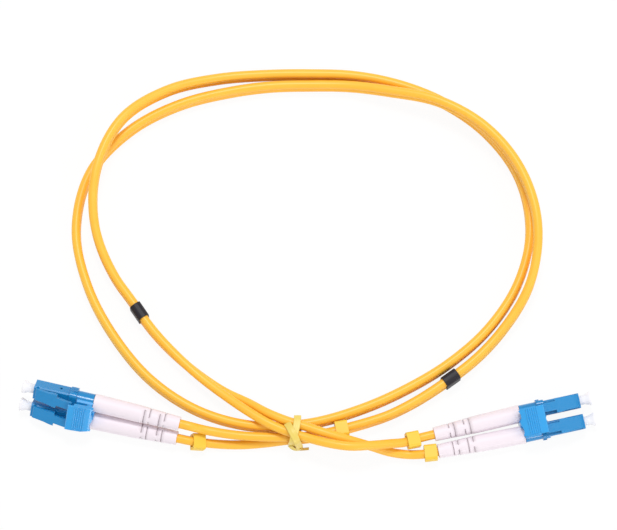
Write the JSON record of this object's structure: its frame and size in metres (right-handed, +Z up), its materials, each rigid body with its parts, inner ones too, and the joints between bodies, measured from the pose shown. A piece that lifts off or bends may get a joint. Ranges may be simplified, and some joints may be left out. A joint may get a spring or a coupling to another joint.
{
  "type": "fiber optic patch cord",
  "caption": "Duplex patch cord in a tied coil: figure-eight cable, split legs, and at each end a pair of latched ferrule plugs with a shared trigger, bend boots and dust caps.",
  "frame": {"origin": "on the table, under the middle of the box round the two plugs", "axes": "+X from the left-hand plug to the right-hand plug, +Y from the plugs towards the far side of the coil, +Z up from the table"},
  "size_m": [0.1706, 0.1206, 0.0129],
  "materials": {
    "blue_plastic": "semi-gloss moulded plastic",
    "zirconia": "polished white ceramic",
    "plated_brass": "turned, satin",
    "spring_steel": "bright drawn wire",
    "plated_metal": "nickel plated, satin",
    "crimp_metal": "plated, crimped",
    "buffer": "matt white buffer",
    "white_boot": "soft matt white",
    "cap_plastic": "cloudy, translucent",
    "yellow_ring": "soft sleeve, satin",
    "dark_sleeve": "heat-shrunk, satin",
    "tie_plastic": "thin pale band",
    "cable_jacket": "satin cable jacket"
  },
  "bodies": {
    "root": {"housing_a1": "blue_plastic", "housing_a2": "blue_plastic", "housing_b1": "blue_plastic", "housing_b2": "blue_plastic", "spring_a1": "spring_steel", "spring_a2": "spring_steel", "spring_b1": "spring_steel", "spring_b2": "spring_steel", "post_a1": "plated_metal", "post_a2": "plated_metal", "post_b1": "plated_metal", "post_b2": "plated_metal", "crimp_a1": "crimp_metal", "crimp_a2": "crimp_metal", "crimp_b1": "crimp_metal", "crimp_b2": "crimp_metal", "boot_a1": "white_boot", "boot_a2": "white_boot", "boot_b1": "white_boot", "boot_b2": "white_boot", "clip_a": "blue_plastic", "clip_b": "blue_plastic", "ring_a1": "yellow_ring", "ring_a2": "yellow_ring", "ring_b1": "yellow_ring", "ring_b2": "yellow_ring", "sleeve_a": "dark_sleeve", "sleeve_b": "dark_sleeve", "tie": "tie_plastic", "cord": "cable_jacket", "leg_a1": "cable_jacket", "leg_a2": "cable_jacket", "leg_b1": "cable_jacket", "leg_b2": "cable_jacket"},
    "cap_a1": {"cap_a1": "cap_plastic"},
    "ferrule_a1": {"ferrule_a1": "zirconia", "flange_a1": "plated_brass", "fibre_a1": "buffer"},
    "latch_a1": {"latch_a1": "blue_plastic"},
    "cap_a2": {"cap_a2": "cap_plastic"},
    "ferrule_a2": {"ferrule_a2": "zirconia", "flange_a2": "plated_brass", "fibre_a2": "buffer"},
    "latch_a2": {"latch_a2": "blue_plastic"},
    "cap_b1": {"cap_b1": "cap_plastic"},
    "ferrule_b1": {"ferrule_b1": "zirconia", "flange_b1": "plated_brass", "fibre_b1": "buffer"},
    "latch_b1": {"latch_b1": "blue_plastic"},
    "cap_b2": {"cap_b2": "cap_plastic"},
    "ferrule_b2": {"ferrule_b2": "zirconia", "flange_b2": "plated_brass", "fibre_b2": "buffer"},
    "latch_b2": {"latch_b2": "blue_plastic"},
    "trigger_a": {"trigger_a": "blue_plastic"},
    "trigger_b": {"trigger_b": "blue_plastic"}
  },
  "joints": [
    {"name": "cap_a1_pull", "type": "slide", "parent": "root", "child": "cap_a1", "axis": [-0.9736, 0.2284, 0], "range_m": [0, 0.014]},
    {"name": "ferrule_a1_give", "type": "slide", "parent": "root", "child": "ferrule_a1", "axis": [0.9736, -0.2284, 0], "range_m": [0, 0.001], "stiffness_N_per_m": 2000, "deforming": ["spring_a1"]},
    {"name": "cap_a2_pull", "type": "slide", "parent": "root", "child": "cap_a2", "axis": [-0.9736, 0.2284, 0], "range_m": [0, 0.014]},
    {"name": "ferrule_a2_give", "type": "slide", "parent": "root", "child": "ferrule_a2", "axis": [0.9736, -0.2284, 0], "range_m": [0, 0.001], "stiffness_N_per_m": 2000, "deforming": ["spring_a2"]},
    {"name": "cap_b1_pull", "type": "slide", "parent": "root", "child": "cap_b1", "axis": [0.9759, 0.2181, 0], "range_m": [0, 0.014]},
    {"name": "ferrule_b1_give", "type": "slide", "parent": "root", "child": "ferrule_b1", "axis": [-0.9759, -0.2181, 0], "range_m": [0, 0.001], "stiffness_N_per_m": 2000, "deforming": ["spring_b1"]},
    {"name": "cap_b2_pull", "type": "slide", "parent": "root", "child": "cap_b2", "axis": [0.9759, 0.2181, 0], "range_m": [0, 0.014]},
    {"name": "ferrule_b2_give", "type": "slide", "parent": "root", "child": "ferrule_b2", "axis": [-0.9759, -0.2181, 0], "range_m": [0, 0.001], "stiffness_N_per_m": 2000, "deforming": ["spring_b2"]},
    {"name": "trigger_a_press", "type": "hinge", "parent": "root", "child": "trigger_a", "pos_m": [-0.06462, -0.00035, 0.00828], "axis": [-0.1615, -0.6884, -0.7071], "range_deg": [0, 12], "stiffness_Nm_per_rad": 0.05},
    {"name": "latch_a1_bend", "type": "hinge", "parent": "root", "child": "latch_a1", "pos_m": [-0.07964, 0.00658, 0.00938], "axis": [0.1615, 0.6884, 0.7071], "range_deg": [0, 5.5], "stiffness_Nm_per_rad": 0.02},
    {"name": "latch_a2_bend", "type": "hinge", "parent": "root", "child": "latch_a2", "pos_m": [-0.08064, 0.00228, 0.00496], "axis": [0.1615, 0.6884, 0.7071], "range_deg": [0, 5.5], "stiffness_Nm_per_rad": 0.02},
    {"name": "trigger_b_press", "type": "hinge", "parent": "root", "child": "trigger_b", "pos_m": [0.06393, -0.00171, 0.00744], "axis": [-0.2148, 0.9611, 0.1736], "range_deg": [0, 12], "stiffness_Nm_per_rad": 0.05},
    {"name": "latch_b1_bend", "type": "hinge", "parent": "root", "child": "latch_b1", "pos_m": [0.07901, 0.00509, 0.00644], "axis": [0.2148, -0.9611, -0.1736], "range_deg": [0, 5.5], "stiffness_Nm_per_rad": 0.02},
    {"name": "latch_b2_bend", "type": "hinge", "parent": "root", "child": "latch_b2", "pos_m": [0.08035, -0.00092, 0.00535], "axis": [0.2148, -0.9611, -0.1736], "range_deg": [0, 5.5], "stiffness_Nm_per_rad": 0.02}
  ],
  "couplings": [
    {"joint": "latch_a1_bend", "follows": "trigger_a_press", "ratio": 0.45},
    {"joint": "latch_a2_bend", "follows": "trigger_a_press", "ratio": 0.45},
    {"joint": "latch_b1_bend", "follows": "trigger_b_press", "ratio": 0.45},
    {"joint": "latch_b2_bend", "follows": "trigger_b_press", "ratio": 0.45}
  ]
}
